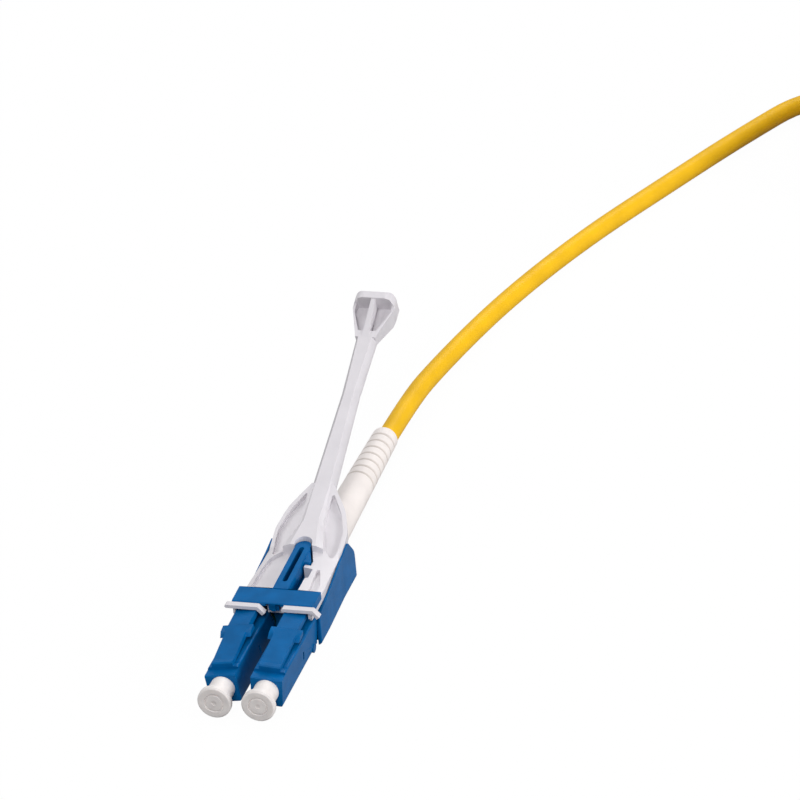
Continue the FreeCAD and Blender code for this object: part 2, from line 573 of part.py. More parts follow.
def tab_pockets():
    """Two long rear pockets beside the spine, and two unlike ones in front of them."""
    rim = TAB_REAR_HALF - RIM
    front_y = BAR_Y[1] + 0.7
    step = SPINE_STEP[0]
    waist = SPINE_WAIST[0]
    rear = [(step + 0.1, SPINE_STEP_Y + 0.7, 0.3), (rim - 0.35, SPINE_STEP_Y - 1.1, 0.3), (rim, SPINE_STEP_Y + 2.0, 2),
            (rim, TAB_SHOULDER_Y - 0.2, 2), (rim - 0.95, TAB_SHOULDER_Y + 2.6, 3), (waist + 0.1, TAB_REAR_Y - 1.2, 0.2),
            (waist, SPINE_WAIST_Y + 2.4, 4), (waist + 0.15, SPINE_WAIST_Y - 0.3, 2)]
    right = [(3.7, front_y, 0.2), (rim, front_y, 0.2), (rim, front_y + 2.6, 1.5), (3.1, 27.1, 0.25)]
    left = [(-TONGUE_HALF, front_y - 0.5), (-rim - 0.1, front_y - 0.5), (-rim, 25.0, 6), (-rim + 0.45, 27.7, 0.4),
            (-step + 0.1, SPINE_STEP_Y + 0.1, 0.2), (-TONGUE_HALF, SPINE_STEP_Y + 0.1)]
    cutters = []
    for depth, outlines in ((POCKET_DEPTH, [rear, [(-x, *rest) for x, *rest in rear]]),
                            (FRONT_POCKET_DEPTH, [right, left])):
        for outline in outlines:
            cutters.append(plan_profile(outline, 0, ABOVE).cut(crown(depth)))
    return cutters


def arm_section(s, width, flank):
    """Section of the pull arm at a distance s along it: a flat top between two sloped edges."""
    angle = math.radians(ARM_ANGLE)
    along = V(0, math.cos(angle), math.sin(angle))
    up = V(0, -math.sin(angle), math.cos(angle))
    root = V(0, ARM_BASE[0], ARM_BASE[1])
    top = width / 2 - flank
    side = -PULL_ARM_THICKNESS * FLANK_DROP
    corners = [(-width / 2, -PULL_ARM_THICKNESS), (width / 2, -PULL_ARM_THICKNESS), (width / 2, side), (top, 0),
               (-top, 0), (-width / 2, side)]
    points = [root + along * s + V(x, 0, 0) + up * z for x, z in corners]
    return Part.makePolygon(points + [points[0]])


def spine_section(y, low, half, flat, top, drop):
    corners = [(-half, low), (half, low), (half, top - drop), (flat, top), (-flat, top), (-half, top - drop)]
    points = [V(x, y, z) for x, z in corners]
    return Part.makePolygon(points + [points[0]])


def spine():
    """Raised wedge that runs from its wide front step up into the pull arm."""
    step = spine_section(SPINE_STEP_Y, DECK_HEIGHT + 0.9, *SPINE_STEP)
    waist = spine_section(SPINE_WAIST_Y, DECK_HEIGHT + 2.1, *SPINE_WAIST)
    root = arm_section(0.5, PULL_ARM_WIDTHS[0], PULL_ARM_FLANKS[0])
    return Part.makeLoft([step, waist], True, True).fuse(Part.makeLoft([waist, root], True, True))


def pull_arm():
    places = (0, PULL_ARM_LENGTH * PULL_ARM_WAIST, PULL_ARM_LENGTH)
    sections = [arm_section(*size) for size in zip(places, PULL_ARM_WIDTHS, PULL_ARM_FLANKS)]
    return Part.makeLoft(sections[:2], True, True).fuse(Part.makeLoft(sections[1:], True, True))


def knob():
    """Cupped end of the arm: an arched cross plate, a centre rib and a flared floor with two low walls."""
    start = PULL_ARM_LENGTH - 0.4
    end = PULL_ARM_LENGTH + KNOB_LENGTH
    neck = PULL_ARM_WIDTHS[2] / 2
    half = KNOB_WIDTH / 2
    high = KNOB_PROUD
    low = high - KNOB_HEIGHT
    plate_front = end - KNOB_PLATE
    fan = mirrored([(neck, start), (half, plate_front - 0.8, 2.4), (half, end, 0.7)])
    side = [(start, -PULL_ARM_THICKNESS), (plate_front - 1.5, low, 2.5), (end, low, 0.5), (end, high, 0.35),
            (plate_front, high, 0.25), (plate_front - 0.5, -0.15, 0.6), (start, 0)]
    arch = mirrored([(half, low, KNOB_FOOT), (half, high, KNOB_ARCH)])
    body = plan_profile(fan, low, high).common(side_profile(side, -half, half))
    body = body.common(front_profile(arch, start - 1, end + 1))
    at_neck, at_plate = KNOB_RIB
    rib = plan_profile(mirrored([(at_neck, start), (at_plate, plate_front + 0.1)]), low, high)
    rib = rib.common(side_profile([(start, -1), (plate_front + 0.1, -1), (plate_front + 0.1, high - 0.2), (start, 0)],
                                  -half, half))
    for sign in (1, -1):
        cup = [(neck - 0.15, start + 1.2, 0.3), (half - KNOB_WALL, plate_front - 1.4, 1.8),
               (half - KNOB_WALL - 0.1, plate_front, 0.4), (0, plate_front), (0, start + 1.2)]
        body = body.cut(plan_profile([(sign * x, *rest) for x, *rest in cup], -KNOB_FLOOR, high + 1))
    body = body.fuse(rib).removeSplitter()
    body.rotate(V(0, 0, 0), X_AXIS, ARM_ANGLE)
    body.translate(V(0, ARM_BASE[0], ARM_BASE[1]))
    return body


def tab_lips():
    """Two lips in front of the bar, one over each latch arm, each with a slanted right end."""
    low = max(arm_corner_height(side) for side in SIDE_SIGN) + LIP_GAP + 0.05
    high = low + LIP_THICKNESS
    drop = LIP_SLANT
    lips = []
    for side, (left, right) in LIP_ENDS.items():
        outline = [(left + 0.2, low), (right - 0.2, low), (right + drop - 0.4, low - drop + 0.15),
                   (right + drop, low - drop + 0.45), (right, high), (left + 0.2, high),
                   (left, high - 0.2), (left, low + 0.2)]
        lips.append(front_profile(outline, LIP_FRONT_Y, LIP_FRONT_Y + LIP_DEPTH))
        centre = SIDE_SIGN[side] * (PITCH / 2 + LIP_CONTACT_HEIGHT * math.sin(math.radians(LEANS[side])))
        lips.append(box(centre - ARM_WIDTH * 0.4, centre + ARM_WIDTH * 0.1, LIP_FRONT_Y + 0.12,
                        LIP_FRONT_Y + LIP_DEPTH, arm_corner_height(side) + LIP_GAP, low + 0.1))
    return lips


def tab_window():
    """Opening for the clip's tongue, stepped on the right where the tongue's barb catches."""
    beside = TONGUE_HALF + WINDOW_SIDE_GAP
    front, rear = WINDOW_STEPS
    barb_front, barb_rear = BARB_Y
    outline = [(-beside, BAR_Y[1] - WINDOW_GAP), (front, BAR_Y[1] - WINDOW_GAP), (front, WINDOW_STEP_Y),
               (rear, WINDOW_STEP_Y + 0.3),
               (rear, barb_front - 0.9), (beside + 0.12, barb_front - 0.75), (beside + 0.12, barb_front - 0.15),
               (TONGUE_HALF + BARB_REACH + 0.15, barb_front - 0.1), (TONGUE_HALF + BARB_REACH + 0.15, barb_front + 1.0),
               (beside + 0.1, barb_rear + 0.4), (beside, TONGUE_TIP_Y + 0.1, beside - 0.05),
               (-beside, TONGUE_TIP_Y + 0.1, beside - 0.05)]
    return plan_profile(outline, 0, ABOVE)


def pull_tab():
    tab = tab_saddle()
    for cutter in arm_notches() + tab_pockets():
        tab = tab.cut(cutter)
    tab = tab.multiFuse([spine(), pull_arm(), knob()])
    tab = tab.cut(tab_window())
    rail_top = max(arm_corner_height(side) for side in SIDE_SIGN) + LIP_GAP + LIP_THICKNESS * 0.6
    inner = tab_half() - SIDE_RAIL
    for sign in (1, -1):
        x0, x1 = sorted((sign * inner, sign * tab_half()))
        tab = tab.fuse(box(x0, x1, LIP_FRONT_Y + 0.3, TAB_FRONT_Y + 0.1, DECK_HEIGHT + 0.6, rail_top))
    return tab.multiFuse(tab_lips()).removeSplitter()


# ---------------------------------------------------------------- clip
def clip_top(y):
    return CLIP_FRONT_TOP + CLIP_SLOPE * (y - BAR_Y[0])


def tab_clip():
    """Cross bar with a slotted, barbed tongue that snaps into the tab's window."""
    y0, y1 = BAR_Y
    bar = side_profile([(y0, clip_top(y0) - BAR_THICKNESS), (y1, clip_top(y0) - BAR_THICKNESS),
                        (y1, clip_top(y1)), (y0 + 0.12, clip_top(y0)), (y0, clip_top(y0) - 0.12)],
                       -BAR_HALF, BAR_HALF)
    corner = plan_profile([(BAR_HALF - 0.55, y0 - 1), (BAR_HALF + 1, y0 - 1), (BAR_HALF + 1, y0 + 0.9),
                           (BAR_HALF, y0 + 0.9)], 0, 8)
    bar = bar.cut(corner)
    rear = TONGUE_TIP_Y
    tongue = side_profile([(y0, clip_top(y0) - BAR_THICKNESS), (y0, clip_top(y0) - 0.12),
                           (y0 + 0.12, clip_top(y0)), (rear, clip_top(rear)), (rear, clip_top(rear) - 1.0),
                           (rear - 1.6, clip_top(rear) - TONGUE_DEPTH), (y1 + 1.2, clip_top(y0) - TONGUE_DEPTH),
                           (y1, clip_top(y0) - BAR_THICKNESS - 0.6), (y1, clip_top(y0) - BAR_THICKNESS)],
                          -TONGUE_HALF, TONGUE_HALF)
    plan = plan_profile(mirrored([(TONGUE_HALF, y0), (TONGUE_HALF, rear - TONGUE_HALF)]), 0, 8)
    tip = Part.makeCylinder(TONGUE_HALF, 8, V(0, rear - TONGUE_HALF, 0), Z_AXIS)
    tongue = tongue.common(plan.fuse(tip))
    clip = bar.fuse(tongue)
    barb_front, barb_rear = BARB_Y
    hook = [(TONGUE_HALF - 0.2, barb_rear), (TONGUE_HALF, barb_rear), (TONGUE_HALF + BARB_REACH, barb_front + 0.7, 0.4),
            (TONGUE_HALF + BARB_REACH - 0.1, barb_front, 0.15), (TONGUE_HALF - 0.2, barb_front)]
    top = clip_top(barb_front) - BARB_DROP
    clip = clip.fuse(plan_profile(hook, top - BARB_HEIGHT, top))
    rail_top = TAB_CROWN - (CROWN_RADIUS - math.sqrt(CROWN_RADIUS ** 2 - (tab_half() - SIDE_RAIL) ** 2))
    for sign in (1, -1):
        x0, x1 = sorted((sign * (tab_half() - SIDE_RAIL + 0.02), sign * BAR_HALF))
        end = box(x0, x1, y0, y1, rail_top + SEAT, clip_top(y0) - 0.3)
        clip = clip.fuse(end.cut(corner))
    half_slot = SLOT_WIDTH / 2
    slot = box(-half_slot, half_slot, SLOT_Y[0] + half_slot, SLOT_Y[1] - half_slot, 0, 8)
    for y in (SLOT_Y[0] + half_slot, SLOT_Y[1] - half_slot):
        slot = slot.fuse(Part.makeCylinder(half_slot, 8, V(0, y, 0), Z_AXIS))
    leg_low = DECK_HEIGHT + 0.9
    leg = box(-BAR_LEG, BAR_LEG, y0 + 0.1, WEB_FRONT_Y - 0.05, leg_low, clip_top(y0) - BAR_THICKNESS + 0.1)
    clip = clip.cut(slot).fuse(leg)
    for x in (-1.05, 0.35):
        clip = clip.cut(box(x, x + 0.7, y0 - 1, y0 + 0.35, 0, clip_top(y0) - 0.2))
    return clip.removeSplitter()


# ---------------------------------------------------------------- crimp, boot and fibres
def crimp_body():
    inner_face = REAR_Y - REAR_WALL - SEAT_GAP
    width, thickness = CRIMP_FLANGE
    tall = DECK_HEIGHT - ROOF - FLOOR - COVER - 0.2
    middle = (DECK_HEIGHT - ROOF + FLOOR + COVER) / 2
    flange = box(-width / 2, width / 2, inner_face - thickness, inner_face, middle - tall / 2, middle + tall / 2)
    tube = rod(CRIMP_DIAMETER, inner_face - 0.1, CRIMP_SHOULDER_Y)
    barrel = rod(CORD_DIAMETER, CRIMP_SHOULDER_Y - 0.1, CRIMP_SHOULDER_Y + BARREL_LENGTH)
    body = flange.multiFuse([tube, barrel])
    return body.cut(rod(CRIMP_BORE, inner_face - 5, CRIMP_SHOULDER_Y + BARREL_LENGTH + 1)).removeSplitter()


def crimp_sleeve():
    front = CRIMP_SHOULDER_Y + TOUCH
    sleeve = rod(CRIMP_DIAMETER, front, front + SLEEVE_LENGTH)
    return sleeve.cut(rod(CORD_DIAMETER + 2 * TOUCH, front - 1, front + SLEEVE_LENGTH + 1))


def boot_radius(y):
    return (BOOT_FRONT + (BOOT_REAR - BOOT_FRONT) * (y - REAR_Y) / (BOOT_END_Y - REAR_Y)) / 2


def boot():
    """Tapered strain relief with a run of shallow ring grooves towards its rear end."""
    front = REAR_Y + SEAT_GAP
    inner_front = CRIMP_DIAMETER / 2 + BOOT_GAP
    inner_rear = CORD_DIAMETER / 2 + BOOT_GAP
    step = CRIMP_SHOULDER_Y + TOUCH + SLEEVE_LENGTH + 0.5
    edge = 0.3
    width, depth = BOOT_GROOVE
    first = BOOT_END_Y - 2.2 - (BOOT_GROOVES - 1) * BOOT_GROOVE_PITCH
    outline = [(inner_front, front), (boot_radius(front) - 0.15, front), (boot_radius(front), front + 0.15)]
    for index in range(BOOT_GROOVES):
        y = first + index * BOOT_GROOVE_PITCH
        outline += [(boot_radius(y), y - width / 2), (boot_radius(y) - depth, y - width * 0.2),
                    (boot_radius(y) - depth, y + width * 0.2), (boot_radius(y), y + width / 2)]
    outline += [(boot_radius(BOOT_END_Y - edge), BOOT_END_Y - edge), (boot_radius(BOOT_END_Y) - edge, BOOT_END_Y),
                (inner_rear, BOOT_END_Y), (inner_rear, step), (inner_front, step - 0.4)]
    return revolved(outline)


def fibre(side):
    """Buffered fibre from the ferrule flange's tail to the crimp barrel."""
    sign = SIDE_SIGN[side]
    splay, gather = FIBRE_SPLAY_Y
    gathered = sign * (FIBRE_DIAMETER / 2 + 0.04)
    route = [V(sign * PITCH / 2, FLANGE_Y + FERRULE_SEATED + 1.0, 0), V(sign * PITCH / 2, splay, 0),
             V(gathered, gather, 0), V(gathered, CRIMP_SHOULDER_Y + BARREL_LENGTH - 0.3, 0)]
    return tube_along(route, FIBRE_DIAMETER)


# ---------------------------------------------------------------- cord
def rounded_path(route):
    """Straight runs joined by tangent arcs, each as large as its two runs allow."""
    edges = []
    radii = []
    start = route[0]
    for before, corner, after in zip(route, route[1:], route[2:]):
        back = before - corner
        ahead = after - corner
        shorter = min(back.Length, ahead.Length)
        half_turn = (math.pi - back.getAngle(ahead)) / 2
        reach = 0.45 * shorter
        radius = reach / math.tan(half_turn)
        radii.append(radius)
        first = corner + V(back).normalize() * reach
        last = corner + V(ahead).normalize() * reach
        inward = (V(back).normalize() + V(ahead).normalize()).normalize()
        centre_distance = math.hypot(reach, radius)
        middle = corner + inward * (centre_distance - radius)
        edges.append(Part.LineSegment(start, first).toShape())
        edges.append(Part.Arc(first, middle, last).toShape())
        start = last
    edges.append(Part.LineSegment(start, route[-1]).toShape())
    return Part.Wire(edges), radii


def tube_along(route, diameter):
    path, radii = rounded_path(route)
    heading = (route[1] - route[0]).normalize()
    section = Part.Wire(Part.makeCircle(diameter / 2, route[0], heading))
    tube = path.makePipeShell([section], True, False)
    expected = math.pi * diameter ** 2 / 4 * path.Length
    print("tube %.1f: length %.1f, volume/expected %.4f, smallest radius %.1f, radii %s"
          % (diameter, path.Length, tube.Volume / expected, min(radii), [round(r, 1) for r in radii]))
    return tube


def cable_run():
    return tube_along([V(*point) for point in ROUTE], CORD_DIAMETER)


def coil_centre():
    """The coil lies to the right of the cord's end, which touches it along a tangent."""
    end = V(*ROUTE[-1])
    heading = end - V(*ROUTE[-2])
    heading.z = 0
    right = heading.normalize().cross(Z_AXIS)
    reach = (COIL_MEAN + COIL_SECTION[0] + CORD_DIAMETER) / 2 + TOUCH
    return V(end.x, end.y, 0) + right * reach


def coil_ring(shrink):
    """Ring of the put-away coil; shrink draws its section in on every side."""
    width, height = COIL_SECTION
    edge = 1.4
    r0 = (COIL_MEAN - width) / 2 + shrink
    r1 = (COIL_MEAN + width) / 2 - shrink
    z0 = FLOOR + shrink
    z1 = FLOOR + height - shrink
    corners = [(r0 + edge, z0), (r1 - edge, z0), (r1, z0 + edge), (r1, z1 - edge), (r1 - edge, z1),
               (r0 + edge, z1), (r0, z1 - edge), (r0, z0 + edge)]
    section = face_of([V(r, 0, z) for r, z in corners])
    ring = section.revolve(V(0, 0, 0), Z_AXIS, 360)
    ring.translate(coil_centre())
    return ring


def tie_block(width):
    """Block across the coil's ring at the tie's place."""
    reach = COIL_SECTION[0] + 4
    block = box(COIL_MEAN / 2 - reach / 2, COIL_MEAN / 2 + reach / 2, -width / 2, width / 2,
                FLOOR, FLOOR + COIL_SECTION[1])
    block.rotate(V(0, 0, 0), Z_AXIS, TIE_ANGLE)
    block.translate(coil_centre())
    return block


def cable_coil():
    """Outer shape of the coiled length, drawn in where the tie holds it."""
    full = coil_ring(0)
    waist = coil_ring(TIE_THICKNESS + TIE_GAP)
    notch = tie_block(TIE_WIDTH + 1.0)
    return full.cut(notch).fuse(waist.common(notch)).removeSplitter()


def cable_tie():
    band = coil_ring(0).cut(coil_ring(TIE_THICKNESS))
    return band.common(tie_block(TIE_WIDTH))


# ---------------------------------------------------------------- build
def build():
    pieces = {}
    for side in SIDE_SIGN:
        pieces["plug_body_" + side] = plug_body(side)
        pieces["latch_arm_" + side] = latch_arm(side)
        pieces["ferrule_" + side] = ferrule(side)
        pieces["ferrule_flange_" + side] = ferrule_flange(side)
        pieces["ferrule_spring_" + side] = spring(side)
        pieces["rear_post_" + side] = rear_post(side)
        pieces["fibre_" + side] = fibre(side)
        pieces["dust_cap_" + side] = dust_cap(side)
    pieces["rear_housing"] = rear_housing()
    pieces["bottom_cover"] = bottom_cover()
    pieces["pull_tab"] = pull_tab()
    pieces["tab_clip"] = tab_clip()
    pieces["crimp_body"] = crimp_body()
    pieces["crimp_sleeve"] = crimp_sleeve()
    pieces["boot"] = boot()
    pieces["cable_run"] = cable_run()
    pieces["cable_coil"] = cable_coil()
    pieces["cable_tie"] = cable_tie()
    return pieces


def main():
    os.makedirs("parts", exist_ok=True)
    for name, shape in build().items():
        if not shape.isValid() or len(shape.Solids) != 1:
            print("check %s: valid %s, solids %d" % (name, shape.isValid(), len(shape.Solids)))
        shape.exportStep("parts/%s.step" % name)


main()
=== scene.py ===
import math

import bmesh
import bpy
from mathutils import Matrix, Vector


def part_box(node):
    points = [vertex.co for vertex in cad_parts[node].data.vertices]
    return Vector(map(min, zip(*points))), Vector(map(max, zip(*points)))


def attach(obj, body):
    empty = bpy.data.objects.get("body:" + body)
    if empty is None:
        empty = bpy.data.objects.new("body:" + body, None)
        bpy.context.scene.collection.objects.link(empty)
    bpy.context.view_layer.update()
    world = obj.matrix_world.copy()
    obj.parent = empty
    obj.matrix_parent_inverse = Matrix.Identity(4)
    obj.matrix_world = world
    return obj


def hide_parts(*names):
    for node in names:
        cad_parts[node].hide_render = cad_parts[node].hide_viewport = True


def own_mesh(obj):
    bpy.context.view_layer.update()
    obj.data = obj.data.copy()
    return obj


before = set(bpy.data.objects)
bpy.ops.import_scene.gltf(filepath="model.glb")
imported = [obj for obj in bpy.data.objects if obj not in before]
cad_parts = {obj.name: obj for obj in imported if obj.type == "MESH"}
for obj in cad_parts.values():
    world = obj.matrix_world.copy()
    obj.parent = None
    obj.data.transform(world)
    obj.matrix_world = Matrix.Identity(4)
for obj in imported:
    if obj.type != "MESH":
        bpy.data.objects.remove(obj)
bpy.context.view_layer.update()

bl_info = {
    "name": "Duplex Fibre Connector",
    "version": (1, 0, 0),
    "blender": (4, 5, 0),
    "location": "3D View > Sidebar > Connector",
    "description": "Finishes a duplex fibre connector with a push-pull tab, its boot and its cord",
    "category": "Object",
}

MM = 0.001

WELD = 0.0005 * MM                   # corners of a CAD mesh that are closer than this are one
BEVELLED_ABOVE = math.radians(32)    # outer edges that turn more than this get the edge radius
SMOOTH_BELOW = math.radians(38)      # edges that turn less than this are shaded smooth
SMOOTH_WIRE_BELOW = math.radians(50)
BEVEL_SHARE = 0.3                    # the edge radius stays under this share of the shortest edge beside it

BOOT_GROOVES = 7
BOOT_GROOVE_PITCH = 1.95 * MM
BOOT_GROOVE_WIDTH = 0.5 * MM
BOOT_RIM = 2.2 * MM                  # from the middle of the last groove to the boot's end

# The cord's control points from the crimp to its coil, in millimetres: on the floor past the boot
ROUTE = [(0.0, 42.2, 0.0), (0.0, 78.6, 0.0), (1.9, 97.4, -1.18), (6.3, 117.0, -1.19),
         (13.3, 138.0, -1.18), (22.2, 158.3, -1.19), (29.4, 174.5, -1.18), (38.6, 192.8, -1.19),
         (62.8, 193.6, -1.18)]
COIL_LAYERS = 3
FLOOR_GAP = 0.01 * MM                # the coil's lowest turns lie this far above the floor

CAMERA_AIM = (-0.97, 81.21, 0.0)     # millimetres, on the plane of the ferrules' axes
FLOOR_RADIUS = 3.0
LAMP_AIM = (0, 0.035, 0)
LAMP_SIZE = 0.5
LAMPS = {"front": ((0.1, -0.7, 0.8), 5.0), "right": ((0.95, -0.05, 0.3), 6.1),
         "left": ((-0.63, 0.25, 0.72), 2.6), "back": ((0.1, 0.8, 0.75), 2.5)}    # place and watts
WORLD_STRENGTH = 0.28


# ---------------------------------------------------------------- sizes and colours
class ConnectorCordSizes(bpy.types.PropertyGroup):
    diameter: bpy.props.FloatProperty(
        name="Diameter", description="Outer diameter of the cord's jacket", default=3.0 * MM, unit="LENGTH")
    coil_mean: bpy.props.FloatProperty(
        name="Coil diameter", description="Diameter of the coil at the middle of its turns",
        default=31.0 * MM, unit="LENGTH")
    turn_spacing: bpy.props.FloatProperty(
        name="Turn spacing", description="Distance between turns that lie beside each other",
        default=3.1 * MM, unit="LENGTH")
    layer_spacing: bpy.props.FloatProperty(
        name="Layer spacing", description="Distance between the coil's layers", default=3.03 * MM, unit="LENGTH")
    points_per_turn: bpy.props.IntProperty(
        name="Points per turn", description="Control points in each turn of the coil", default=24, min=12)
    crossing: bpy.props.FloatProperty(
        name="Crossing", description="Share of a turn in which the cord crosses to its next place",
        default=0.11, min=0.05, max=0.3, subtype="FACTOR")


class ConnectorEdges(bpy.types.PropertyGroup):
    moulded: bpy.props.FloatProperty(
        name="Moulded edge", description="Edge radius of the small hard mouldings", default=0.1 * MM, unit="LENGTH")
    soft: bpy.props.FloatProperty(
        name="Soft edge", description="Edge radius of the pull tab", default=0.12 * MM, unit="LENGTH")
    machined: bpy.props.FloatProperty(
        name="Turned edge", description="Edge radius of the turned parts", default=0.03 * MM, unit="LENGTH")


class ConnectorColours(bpy.types.PropertyGroup):
    blue: bpy.props.StringProperty(name="Blue", description="Plugs, housing and clip, sRGB hex", default="005d9a")
    tab: bpy.props.StringProperty(name="Tab", description="Pull tab, sRGB hex", default="dad6da")
    cap: bpy.props.StringProperty(name="Caps", description="Dust caps, sRGB hex", default="e8e2e0")
    boot: bpy.props.StringProperty(name="Boot", description="Strain relief, sRGB hex", default="f6eeea")
    jacket: bpy.props.StringProperty(name="Jacket", description="Cord, sRGB hex", default="f2bd14")
    floor: bpy.props.StringProperty(name="Floor", description="Floor and backdrop, sRGB hex", default="ffffff")


class ConnectorStage(bpy.types.PropertyGroup):
    distance: bpy.props.FloatProperty(
        name="Distance", description="Camera to the point that it looks at", default=799.6 * MM, unit="LENGTH")
    azimuth: bpy.props.FloatProperty(
        name="Azimuth", description="Camera's turn to the right of the plugs' front",
        default=math.radians(18.4), subtype="ANGLE")
    elevation: bpy.props.FloatProperty(
        name="Elevation", description="Camera's height above the horizon", default=math.radians(28.63),
        subtype="ANGLE")
    roll: bpy.props.FloatProperty(
        name="Roll", description="Camera's roll", default=math.radians(5.44), subtype="ANGLE")
    lens: bpy.props.FloatProperty(name="Lens", description="Focal length in millimetres", default=242.55, min=1)
    lamp: bpy.props.FloatProperty(name="Lamps", description="Strength of all lamps together", default=1.0, min=0)


GROUPS = {"cord": ConnectorCordSizes, "edges": ConnectorEdges, "colours": ConnectorColours, "stage": ConnectorStage}


def settings(group):
    return getattr(bpy.context.scene, "connector_" + group)


# ---------------------------------------------------------------- material nodes
def linear(hex_code):
    """Linear RGBA of an sRGB hex colour."""
    channels = [int(hex_code[i:i + 2], 16) / 255 for i in (0, 2, 4)]
    return [c / 12.92 if c <= 0.04045 else ((c + 0.055) / 1.055) ** 2.4 for c in channels] + [1.0]


def add_node(tree, kind, values=None, links=None, **attributes):
    """A node of that kind, with its attributes, its inputs' values and the sockets linked into them."""
    node = tree.nodes.new(kind)
    for name, value in attributes.items():
        setattr(node, name, value)
    for name, value in (values or {}).items():
        node.inputs[name].default_value = value
    for name, socket in (links or {}).items():
        tree.links.new(socket, node.inputs[name])
    return node


def surface(name, values):
    """A new material, its node tree and its shader."""
    material = bpy.data.materials.new(name)
    material.use_nodes = True
    tree = material.node_tree
    shader = tree.nodes["Principled BSDF"]
    for socket, value in values.items():
        shader.inputs[socket].default_value = value
    return material, tree, shader


def pattern(tree, shader, size, detail=2.0, stretch=None, shades=None, gloss=None, relief=None):
    """One scale of a surface: noise on Object coordinates with features of about size metres. It runs the base colour
    between two shades and the roughness between two values, and raises the surface by relief, a share and metres."""
    place = add_node(tree, "ShaderNodeTexCoord").outputs["Object"]
    if stretch:
        place = add_node(tree, "ShaderNodeMapping", {"Scale": stretch}, {"Vector": place}).outputs["Vector"]
    noise = add_node(tree, "ShaderNodeTexNoise", {"Scale": 1 / size, "Detail": detail},
                     {"Vector": place}).outputs["Fac"]
    if shades:
        ramp = add_node(tree, "ShaderNodeValToRGB", {}, {"Fac": noise})
        for stop, position, shade in zip(ramp.color_ramp.elements, (0.32, 0.68), shades):
            stop.position = position
            stop.color = linear(shade)
        tree.links.new(ramp.outputs["Color"], shader.inputs["Base Color"])
    if gloss:
        span = add_node(tree, "ShaderNodeMapRange", {"From Min": 0.3, "From Max": 0.7, "To Min": gloss[0],
                                                     "To Max": gloss[1]}, {"Value": noise})
        tree.links.new(span.outputs["Result"], shader.inputs["Roughness"])
    if relief:
        raised = add_node(tree, "ShaderNodeBump", {"Strength": relief[0], "Distance": relief[1]}, {"Height": noise})
        tree.links.new(raised.outputs["Normal"], shader.inputs["Normal"])


def shaded(hex_code, *factors):
    """A hex colour with its channels scaled, once for each factor."""
    channels = [int(hex_code[i:i + 2], 16) for i in (0, 2, 4)]
    return ["%02x%02x%02x" % tuple(min(255, round(channel * factor)) for channel in channels) for factor in factors]


# ---------------------------------------------------------------- materials
def moulded_pbt(name, hex_code, roughness=0.34):
    """PBT, injection moulded in a spark-eroded tool: an even semi-gloss with a very fine mottle."""
    material, tree, shader = surface(name, {"Roughness": roughness, "IOR": 1.5, "Specular IOR Level": 0.1})
    pattern(tree, shader, 2.2 * MM, shades=shaded(hex_code, 0.95, 1.04))
    pattern(tree, shader, 0.12 * MM, detail=3.0, gloss=(roughness - 0.05, roughness + 0.07),
            relief=(0.25, 0.006 * MM))
    return material


def moulded_nylon(name, hex_code):
    """White nylon, injection moulded: satin, with light carried a little way under the skin."""
    material, tree, shader = surface(name, {
        "Roughness": 0.42, "IOR": 1.53, "Subsurface Weight": 0.12, "Subsurface Radius": (1.0, 0.95, 0.9),
        "Subsurface Scale": 0.5 * MM})
    pattern(tree, shader, 4.0 * MM, shades=shaded(hex_code, 0.985, 1.01))
    pattern(tree, shader, 0.16 * MM, detail=3.0, gloss=(0.38, 0.5), relief=(0.2, 0.008 * MM))
    return material


def low_density_polyethylene(name, hex_code):
    """Low-density polyethylene of throw-away caps: waxy and slightly see-through at its thin edges."""
    material, tree, shader = surface(name, {
        "Roughness": 0.46, "IOR": 1.51, "Subsurface Weight": 0.3, "Subsurface Radius": (1.0, 0.95, 0.9),
        "Subsurface Scale": 0.9 * MM})
    pattern(tree, shader, 1.6 * MM, shades=shaded(hex_code, 0.97, 1.02))
    pattern(tree, shader, 0.25 * MM, relief=(0.2, 0.01 * MM))
    return material


def paint_groove_shade(tree, shader, last):
    """Paints shade into the base colour in rings along Y, from the last groove towards the plugs: the shade that
    falls in the grooves, painted.
    """
    place = add_node(tree, "ShaderNodeTexCoord").outputs["Object"]
    along = add_node(tree, "ShaderNodeSeparateXYZ", links={"Vector": place}).outputs["Y"]
    turns = add_node(tree, "ShaderNodeMath", {1: -1 / BOOT_GROOVE_PITCH, 2: last / BOOT_GROOVE_PITCH}, {0: along},
                     operation="MULTIPLY_ADD").outputs["Value"]
    nearest = add_node(tree, "ShaderNodeMath", {}, {0: turns}, operation="ROUND").outputs["Value"]
    aside = add_node(tree, "ShaderNodeMath", {}, {0: turns, 1: nearest}, operation="SUBTRACT").outputs["Value"]
    aside = add_node(tree, "ShaderNodeMath", {}, {0: aside}, operation="ABSOLUTE").outputs["Value"]
    wide = BOOT_GROOVE_WIDTH / BOOT_GROOVE_PITCH
    ring = add_node(tree, "ShaderNodeMapRange", {"From Min": 0.2 * wide, "From Max": 0.6 * wide, "To Min": 1.0,
                                                 "To Max": 0.0}, {"Value": aside}).outputs["Result"]
    within = add_node(tree, "ShaderNodeMath", {1: (BOOT_GROOVES - 1) / 2, 2: BOOT_GROOVES / 2}, {0: turns},
                      operation="COMPARE").outputs["Value"]
    # The mask of the painted groove shade: one inside the grooves, none between them
    dust = add_node(tree, "ShaderNodeMath", {}, {0: ring, 1: within}, operation="MULTIPLY").outputs["Value"]
    unshaded_colour = shader.inputs["Base Color"].links[0].from_socket
    # Sockets 6 and 7 are the node's two colours, and its output 2 is their mix
    # cfc6bf is the painted shade's colour, mixed into the base colour inside the grooves
    mixed = add_node(tree, "ShaderNodeMix", {7: linear("cfc6bf")}, {0: dust, 6: unshaded_colour}, data_type="RGBA")
    tree.links.new(mixed.outputs[2], shader.inputs["Base Color"])


